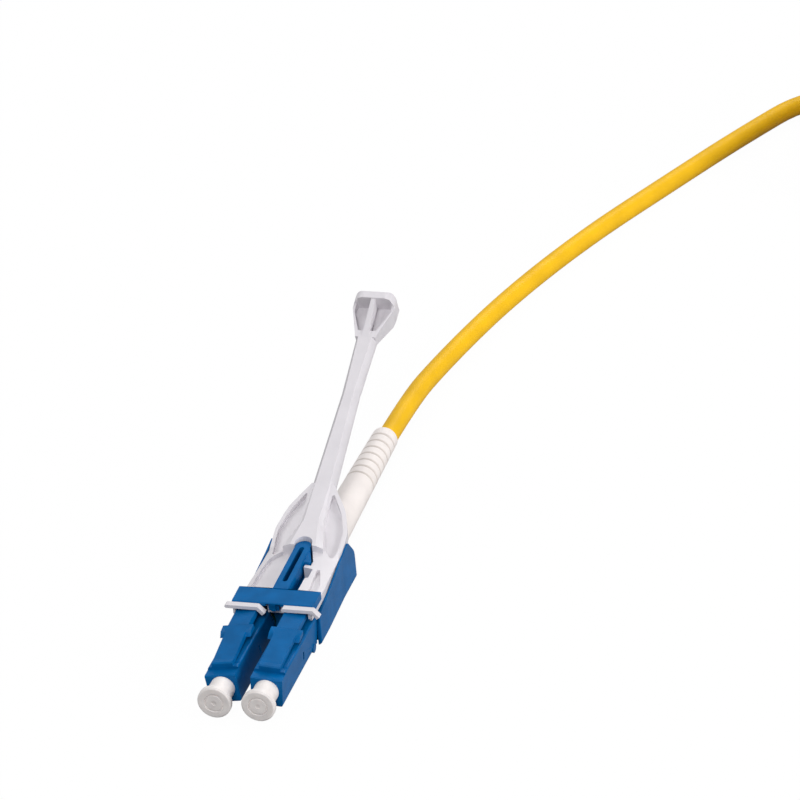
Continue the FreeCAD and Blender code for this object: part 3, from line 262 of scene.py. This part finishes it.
def moulded_elastomer(name, hex_code, last_groove):
    """Thermoplastic elastomer of a strain relief: matt, slightly dusty, with painted shade darkening its grooves."""
    material, tree, shader = surface(name, {"Roughness": 0.58, "IOR": 1.5, "Sheen Weight": 0.08,
                                            "Sheen Roughness": 0.5})
    pattern(tree, shader, 3.0 * MM, shades=shaded(hex_code, 0.975, 1.01))
    pattern(tree, shader, 0.2 * MM, detail=4.0, gloss=(0.52, 0.66), relief=(0.3, 0.01 * MM))
    paint_groove_shade(tree, shader, last_groove)
    return material


def extruded_jacket(name, hex_code):
    """Low-smoke jacket, extruded over the yarn: satin, with faint uneven patches."""
    material, tree, shader = surface(name, {"Roughness": 0.45, "IOR": 1.5, "Specular IOR Level": 0.2})
    pattern(tree, shader, 5.0 * MM, shades=shaded(hex_code, 0.97, 1.02))
    pattern(tree, shader, 0.5 * MM, detail=3.0, gloss=(0.38, 0.52), relief=(0.2, 0.012 * MM))
    return material


def zirconia(name):
    """Zirconia ceramic, ground and polished: near white and glossy."""
    material, tree, shader = surface(name, {"Base Color": linear("efefea"), "Roughness": 0.12, "IOR": 2.1})
    pattern(tree, shader, 0.3 * MM, gloss=(0.08, 0.16))
    return material


def turned_metal(name, hex_code, roughness=0.28):
    """Turned and plated metal: fine rings left by the tool."""
    material, tree, shader = surface(name, {"Base Color": linear(hex_code), "Metallic": 1.0,
                                            "Roughness": roughness})
    pattern(tree, shader, 0.15 * MM, stretch=(0.05, 1.0, 0.05), gloss=(roughness - 0.08, roughness + 0.1),
            relief=(0.2, 0.004 * MM))
    return material


def drawn_wire(name):
    """Stainless spring wire, drawn: bright, a little uneven in its gloss."""
    material, tree, shader = surface(name, {"Base Color": linear("b9b9b6"), "Metallic": 1.0, "Roughness": 0.25})
    pattern(tree, shader, 0.1 * MM, gloss=(0.18, 0.34))
    return material


def woven_tie(name):
    """Hook-and-loop tape, woven nylon: black and matt with a fine pile."""
    material, tree, shader = surface(name, {"Roughness": 0.85, "Sheen Weight": 0.4, "Sheen Roughness": 0.4})
    pattern(tree, shader, 0.35 * MM, detail=4.0, shades=("17171a", "2b2b2f"), relief=(0.6, 0.08 * MM))
    return material


# ---------------------------------------------------------------- finishing CAD nodes
def geometry_tree(name):
    """A new tree of geometry nodes and the socket that its mesh comes from."""
    tree = bpy.data.node_groups.new(name, "GeometryNodeTree")
    for way in ("INPUT", "OUTPUT"):
        tree.interface.new_socket("Geometry", in_out=way, socket_type="NodeSocketGeometry")
    return tree, add_node(tree, "NodeGroupInput").outputs["Geometry"]


def smooth_by_angle(limit):
    """Geometry nodes that shade smooth across edges under an angle and sharp across the others."""
    name = "smooth_under_%d" % round(math.degrees(limit))
    if name in bpy.data.node_groups:
        return bpy.data.node_groups[name]
    tree, source = geometry_tree(name)
    turn = add_node(tree, "GeometryNodeInputMeshEdgeAngle").outputs["Unsigned Angle"]
    gentle = add_node(tree, "FunctionNodeCompare", {"B": limit}, {"A": turn}, data_type="FLOAT",
                      operation="LESS_THAN").outputs["Result"]
    faces = add_node(tree, "GeometryNodeSetShadeSmooth", {"Shade Smooth": True}, {"Geometry": source}, domain="FACE")
    edges = add_node(tree, "GeometryNodeSetShadeSmooth", {}, {"Geometry": faces.outputs["Geometry"],
                                                              "Shade Smooth": gentle}, domain="EDGE")
    add_node(tree, "NodeGroupOutput", {}, {"Geometry": edges.outputs["Geometry"]})
    return tree


def edge_weights(width):
    """Geometry nodes that weigh each outer edge for the bevel: less beside short edges, none where it is gentle."""
    name = "edge_weights_%d" % round(width / MM * 1000)
    if name in bpy.data.node_groups:
        return bpy.data.node_groups[name]
    tree, source = geometry_tree(name)
    ends = add_node(tree, "GeometryNodeInputMeshEdgeVertices").outputs
    span = add_node(tree, "ShaderNodeVectorMath", {}, {0: ends["Position 1"], 1: ends["Position 2"]},
                    operation="DISTANCE").outputs["Value"]
    nearest = add_node(tree, "GeometryNodeEdgesOfVertex", {}, {"Weights": span}).outputs["Edge Index"]
    shortest = add_node(tree, "GeometryNodeFieldAtIndex", {}, {"Value": span, "Index": nearest},
                        domain="EDGE").outputs["Value"]
    sides = [add_node(tree, "GeometryNodeFieldAtIndex", {}, {"Value": shortest, "Index": ends[vertex]},
                      domain="POINT").outputs["Value"] for vertex in ("Vertex Index 1", "Vertex Index 2")]
    least = add_node(tree, "ShaderNodeMath", {}, {0: sides[0], 1: sides[1]}, operation="MINIMUM").outputs["Value"]
    share = add_node(tree, "ShaderNodeMath", {1: BEVEL_SHARE / width}, {0: least}, operation="MULTIPLY",
                     use_clamp=True).outputs["Value"]
    # An outer edge has a negative angle
    turn = add_node(tree, "GeometryNodeInputMeshEdgeAngle").outputs["Signed Angle"]
    sharp = add_node(tree, "ShaderNodeMath", {1: -BEVELLED_ABOVE}, {0: turn}, operation="LESS_THAN").outputs["Value"]
    weight = add_node(tree, "ShaderNodeMath", {}, {0: share, 1: sharp}, operation="MULTIPLY").outputs["Value"]
    stored = add_node(tree, "GeometryNodeStoreNamedAttribute", {"Name": "bevel_weight_edge"},
                      {"Geometry": source, "Value": weight}, data_type="FLOAT", domain="EDGE")
    add_node(tree, "NodeGroupOutput", {}, {"Geometry": stored.outputs["Geometry"]})
    return tree


def finish_node(name, material, edge=0.0, segments=2):
    """Gives a CAD node its material, softened edges and smooth shading."""
    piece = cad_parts[name]
    piece.data.materials.clear()
    piece.data.materials.append(material)
    weld = piece.modifiers.new("merge", "WELD")
    weld.merge_threshold = WELD
    if edge > 0:
        weights = piece.modifiers.new("weights", "NODES")
        weights.node_group = edge_weights(edge)
        bevel = piece.modifiers.new("edges", "BEVEL")
        bevel.width = edge
        bevel.segments = segments
        bevel.limit_method = "WEIGHT"
        bevel.use_clamp_overlap = False
        bevel.miter_outer = "MITER_ARC"
    smooth = piece.modifiers.new("shading", "NODES")
    smooth.node_group = smooth_by_angle(SMOOTH_BELOW)
    if edge > 0:
        even = piece.modifiers.new("even_flats", "WEIGHTED_NORMAL")
        even.keep_sharp = True


def material_named(name, maker, *arguments):
    """The material of that name, made the first time it is asked for."""
    return bpy.data.materials.get(name) or maker(name, *arguments)


def blue_pbt():
    return material_named("moulded_blue_pbt", moulded_pbt, settings("colours").blue)


def both(stem):
    return [stem + "_left", stem + "_right"]


# ---------------------------------------------------------------- pieces
class CONNECTOR_OT_housing(bpy.types.Operator):
    """Finish the rear housing and its bottom cover"""
    bl_idname = "connector.housing"
    bl_label = "Housing"

    def execute(self, context):
        edge = settings("edges").moulded
        for name in ("rear_housing", "bottom_cover"):
            finish_node(name, blue_pbt(), edge)
        return {"FINISHED"}


class CONNECTOR_OT_plugs(bpy.types.Operator):
    """Finish the two plugs and their latch arms"""
    bl_idname = "connector.plugs"
    bl_label = "Plugs and latch arms"

    def execute(self, context):
        edge = settings("edges").moulded
        for name in both("plug_body") + both("latch_arm"):
            finish_node(name, blue_pbt(), edge)
        return {"FINISHED"}


class CONNECTOR_OT_pull_tab(bpy.types.Operator):
    """Finish the pull tab"""
    bl_idname = "connector.pull_tab"
    bl_label = "Pull tab"

    def execute(self, context):
        white = material_named("moulded_white_nylon", moulded_nylon, settings("colours").tab)
        finish_node("pull_tab", white, settings("edges").soft, 3)
        return {"FINISHED"}


class CONNECTOR_OT_clip(bpy.types.Operator):
    """Finish the clip on the pull tab"""
    bl_idname = "connector.clip"
    bl_label = "Clip"

    def execute(self, context):
        finish_node("tab_clip", blue_pbt(), settings("edges").moulded)
        return {"FINISHED"}


class CONNECTOR_OT_dust_caps(bpy.types.Operator):
    """Finish the two dust caps"""
    bl_idname = "connector.dust_caps"
    bl_label = "Dust caps"

    def execute(self, context):
        wax = material_named("ldpe_cap", low_density_polyethylene, settings("colours").cap)
        for name in both("dust_cap"):
            finish_node(name, wax, settings("edges").moulded)
        return {"FINISHED"}


def add_spring(context, side, wire):
    """A copy of the ferrule's spring in place of its CAD node, carried with the housing."""
    node = "ferrule_spring_" + side
    spring = bpy.data.objects.new("coil_spring_" + side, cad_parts[node].data.copy())
    context.scene.collection.objects.link(spring)
    shape = bmesh.new()
    shape.from_mesh(spring.data)
    bmesh.ops.remove_doubles(shape, verts=shape.verts, dist=WELD)
    shape.to_mesh(spring.data)
    shape.free()
    spring.data.materials.clear()
    spring.data.materials.append(wire)
    smooth = spring.modifiers.new("shading", "NODES")
    smooth.node_group = smooth_by_angle(SMOOTH_WIRE_BELOW)
    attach(spring, "housing")
    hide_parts(node)
    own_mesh(spring)


class CONNECTOR_OT_inner_parts(bpy.types.Operator):
    """Finish the ferrules, flanges, springs, posts, fibres and crimp"""
    bl_idname = "connector.inner_parts"
    bl_label = "Inner parts"

    def execute(self, context):
        edge = settings("edges").machined
        ceramic = material_named("polished_zirconia", zirconia)
        nickel = material_named("plated_nickel", turned_metal, "b9b4a8")
        brass = material_named("turned_brass", turned_metal, "c29a52")
        steel = material_named("crimped_steel", turned_metal, "a9a9ab", 0.36)
        wire = material_named("drawn_spring_wire", drawn_wire)
        buffer = material_named("buffered_fibre_coat", moulded_pbt, "e6e4da", 0.3)
        for name in both("ferrule"):
            finish_node(name, ceramic, edge)
        for name in both("ferrule_flange"):
            finish_node(name, nickel, edge)
        for name in both("rear_post"):
            finish_node(name, brass, edge)
        for side in ("left", "right"):
            add_spring(context, side, wire)
        for name in both("fibre"):
            finish_node(name, buffer)
        finish_node("crimp_body", brass, edge)
        finish_node("crimp_sleeve", steel, edge)
        return {"FINISHED"}


class CONNECTOR_OT_boot(bpy.types.Operator):
    """Finish the boot"""
    bl_idname = "connector.boot"
    bl_label = "Boot"

    def execute(self, context):
        last_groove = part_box("boot")[1][1] - BOOT_RIM
        soft = material_named("moulded_white_tpe", moulded_elastomer, settings("colours").boot, last_groove)
        finish_node("boot", soft, settings("edges").machined)
        return {"FINISHED"}


# ---------------------------------------------------------------- cord
def coil_places(sizes):
    """Radius and layer of each turn: from the outermost inward, back out a layer higher, and inward again."""
    steps = (1, 0, -1)
    return [(sizes.coil_mean / 2 + step * sizes.turn_spacing, layer)
            for layer in range(COIL_LAYERS) for step in (reversed(steps) if layer % 2 else steps)]


def coil_points(sizes, floor):
    """Control points of the turns, wound clockwise; each crossing to the next place comes a little earlier."""
    low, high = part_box("cable_coil")
    centre = Vector(((low[0] + high[0]) / 2, (low[1] + high[1]) / 2, 0))
    entry = Vector(ROUTE[-1]) * MM - centre
    start = math.atan2(entry.y, entry.x)
    swell = 1 / math.cos(math.pi / sizes.points_per_turn)    # the line runs inside its control points
    places = [(entry.xy.length, 0)] + coil_places(sizes)
    stay = 1 - sizes.crossing
    total = (len(places) - 1) * stay + sizes.crossing
    points = []
    for index in range(1, round(total * sizes.points_per_turn) + 1):
        travelled = index / sizes.points_per_turn
        number = min(int(travelled / stay), len(places) - 2)
        share = min(1, (travelled - number * stay) / sizes.crossing)
        (radius0, layer0), (radius1, layer1) = places[number:number + 2]
        radius = (radius0 + (radius1 - radius0) * share) * swell
        layer = layer0 + (layer1 - layer0) * share
        angle = start - 2 * math.pi * travelled
        height = floor + sizes.diameter / 2 + FLOOR_GAP + layer * sizes.layer_spacing
        points.append(Vector((centre.x + radius * math.cos(angle), centre.y + radius * math.sin(angle), height)))
    return points


def cord_points(sizes):
    """Every control point of the cord, in metres."""
    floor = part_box("cable_coil")[0][2]
    return [Vector(point) * MM for point in ROUTE] + coil_points(sizes, floor)


def spline_length(obj):
    """Length of a curve's own line, with no bevel."""
    depth = obj.data.bevel_depth
    obj.data.bevel_depth = 0
    mesh = bpy.data.meshes.new_from_object(obj)
    obj.data.bevel_depth = depth
    points = [v.co.copy() for v in mesh.vertices]
    bpy.data.meshes.remove(mesh)
    return sum((b - a).length for a, b in zip(points, points[1:]))


class CONNECTOR_OT_cord(bpy.types.Operator):
    """Lay the cord from the crimp along the floor into its coil"""
    bl_idname = "connector.cord"
    bl_label = "Cord"

    def execute(self, context):
        sizes = settings("cord")
        curve = bpy.data.curves.new("cord", "CURVE")
        curve.dimensions = "3D"
        spline = curve.splines.new("NURBS")
        points = cord_points(sizes)
        spline.points.add(len(points) - 1)
        # The thickness is on the points, because a curve's box grows by their radius in metres
        for target, place in zip(spline.points, points):
            target.co = (*place, 1)
            target.radius = sizes.diameter / 2
        spline.order_u = 3
        spline.use_endpoint_u = True
        curve.resolution_u = 10
        curve.bevel_depth = 1.0
        curve.bevel_resolution = 8
        curve.use_fill_caps = True
        cord = bpy.data.objects.new("cord", curve)
        context.scene.collection.objects.link(cord)
        curve.materials.append(material_named("extruded_yellow_jacket", extruded_jacket,
                                              settings("colours").jacket))
        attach(cord, "housing")
        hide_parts("cable_run", "cable_coil")
        round(spline_length(cord), 3)
        finish_node("cable_tie", material_named("woven_hook_and_loop", woven_tie))
        return {"FINISHED"}


# ---------------------------------------------------------------- stage
def place_camera(stage):
    """Camera at its azimuth and elevation round the point where its axis meets the plugs' plane."""
    aim = Vector(CAMERA_AIM) * MM
    away = Vector((math.sin(stage.azimuth) * math.cos(stage.elevation),
                   -math.cos(stage.azimuth) * math.cos(stage.elevation), math.sin(stage.elevation)))
    camera = bpy.data.objects.new("camera", bpy.data.cameras.new("camera"))
    camera.data.lens = stage.lens
    camera.data.clip_start = 0.05
    camera.data.clip_end = 20
    turn = away.to_track_quat("Z", "Y").to_matrix()
    camera.matrix_world = (Matrix.Translation(aim + away * stage.distance)
                           @ (turn @ Matrix.Rotation(-stage.roll, 3, "Z")).to_4x4())
    bpy.context.scene.collection.objects.link(camera)
    bpy.context.scene.camera = camera


def add_lamp(name, place, power):
    """A square area lamp that faces the connector."""
    data = bpy.data.lights.new(name, "AREA")
    data.size = LAMP_SIZE
    data.energy = power
    lamp = bpy.data.objects.new(name, data)
    lamp.location = place
    lamp.rotation_euler = (Vector(place) - Vector(LAMP_AIM)).to_track_quat("Z", "Y").to_euler()
    bpy.context.scene.collection.objects.link(lamp)


def white_where_seen(tree, shader, output, colour, direct, mirrored, strength=1.0):
    """Mixes a glow into a surface: by direct for the camera, by mirrored for reflections and glass."""
    path = add_node(tree, "ShaderNodeLightPath").outputs
    bounced = add_node(tree, "ShaderNodeMath", {}, {0: path["Is Glossy Ray"], 1: path["Is Transmission Ray"]},
                       operation="MAXIMUM").outputs["Value"]
    parts = [add_node(tree, "ShaderNodeMath", {1: share}, {0: seen}, operation="MULTIPLY").outputs["Value"]
             for seen, share in ((path["Is Camera Ray"], direct), (bounced, mirrored))]
    whole = add_node(tree, "ShaderNodeMath", {}, dict(enumerate(parts)), operation="ADD").outputs["Value"]
    glow = add_node(tree, "ShaderNodeEmission", {"Color": colour, "Strength": strength}).outputs["Emission"]
    mix = add_node(tree, "ShaderNodeMixShader", {}, {0: whole, 1: shader, 2: glow}).outputs["Shader"]
    tree.links.new(mix, output.inputs["Surface"])


class CONNECTOR_OT_stage(bpy.types.Operator):
    """Set the floor, the lamps, the world and the camera"""
    bl_idname = "connector.stage"
    bl_label = "Stage"

    def execute(self, context):
        stage = settings("stage")
        scene = context.scene
        scene.view_settings.view_transform = "Standard"
        colour = linear(settings("colours").floor)
        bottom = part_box("rear_housing")[0][2]

        shape = bmesh.new()
        bmesh.ops.create_circle(shape, cap_ends=True, segments=64, radius=FLOOR_RADIUS)
        bmesh.ops.translate(shape, verts=shape.verts, vec=(0, 0, bottom))
        mesh = bpy.data.meshes.new("floor")
        shape.to_mesh(mesh)
        shape.free()
        floor = bpy.data.objects.new("floor", mesh)
        scene.collection.objects.link(floor)
        # The table is grey to the object, so that it throws little light up, and white to the camera
        material, tree, shader = surface("white_table", {"Base Color": linear("9a9a9a"), "Roughness": 0.9,
                                                         "Specular IOR Level": 0.1})
        white_where_seen(tree, shader.outputs["BSDF"], tree.nodes["Material Output"], colour,
                         direct=0.93, mirrored=0.2, strength=1.05)
        mesh.materials.append(material)

        world = bpy.data.worlds.new("studio")
        scene.world = world
        world.use_nodes = True
        tree = world.node_tree
        soft = tree.nodes["Background"]
        soft.inputs["Color"].default_value = linear("f4f6fa")
        soft.inputs["Strength"].default_value = WORLD_STRENGTH * stage.lamp
        white_where_seen(tree, soft.outputs["Background"], tree.nodes["World Output"], colour,
                         direct=1.0, mirrored=0.4)

        for name, (place, power) in LAMPS.items():
            add_lamp(name, place, power * stage.lamp)
        place_camera(stage)
        return {"FINISHED"}


# ---------------------------------------------------------------- panel and registration
OPERATORS = (CONNECTOR_OT_housing, CONNECTOR_OT_plugs, CONNECTOR_OT_pull_tab, CONNECTOR_OT_clip,
             CONNECTOR_OT_dust_caps, CONNECTOR_OT_inner_parts, CONNECTOR_OT_boot, CONNECTOR_OT_cord,
             CONNECTOR_OT_stage)


class CONNECTOR_PT_panel(bpy.types.Panel):
    """Sizes, colours and operators of the connector"""
    bl_label = "Fibre connector"
    bl_idname = "CONNECTOR_PT_panel"
    bl_space_type = "VIEW_3D"
    bl_region_type = "UI"
    bl_category = "Connector"

    def draw(self, context):
        layout = self.layout
        for group in GROUPS:
            box = layout.box()
            box.label(text=group.capitalize())
            values = settings(group)
            for name in values.__annotations__:
                box.prop(values, name)
        for operator in OPERATORS:
            layout.operator(operator.bl_idname)


CLASSES = tuple(GROUPS.values()) + OPERATORS + (CONNECTOR_PT_panel,)


def register():
    for item in CLASSES:
        bpy.utils.register_class(item)
    for name, group in GROUPS.items():
        setattr(bpy.types.Scene, "connector_" + name, bpy.props.PointerProperty(type=group))


def unregister():
    for name in GROUPS:
        delattr(bpy.types.Scene, "connector_" + name)
    for item in reversed(CLASSES):
        bpy.utils.unregister_class(item)


def main():
    """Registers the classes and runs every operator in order."""
    register()
    for item in OPERATORS:
        group, name = item.bl_idname.split(".")
        getattr(getattr(bpy.ops, group), name)()


if __name__ == "__main__":
    main()
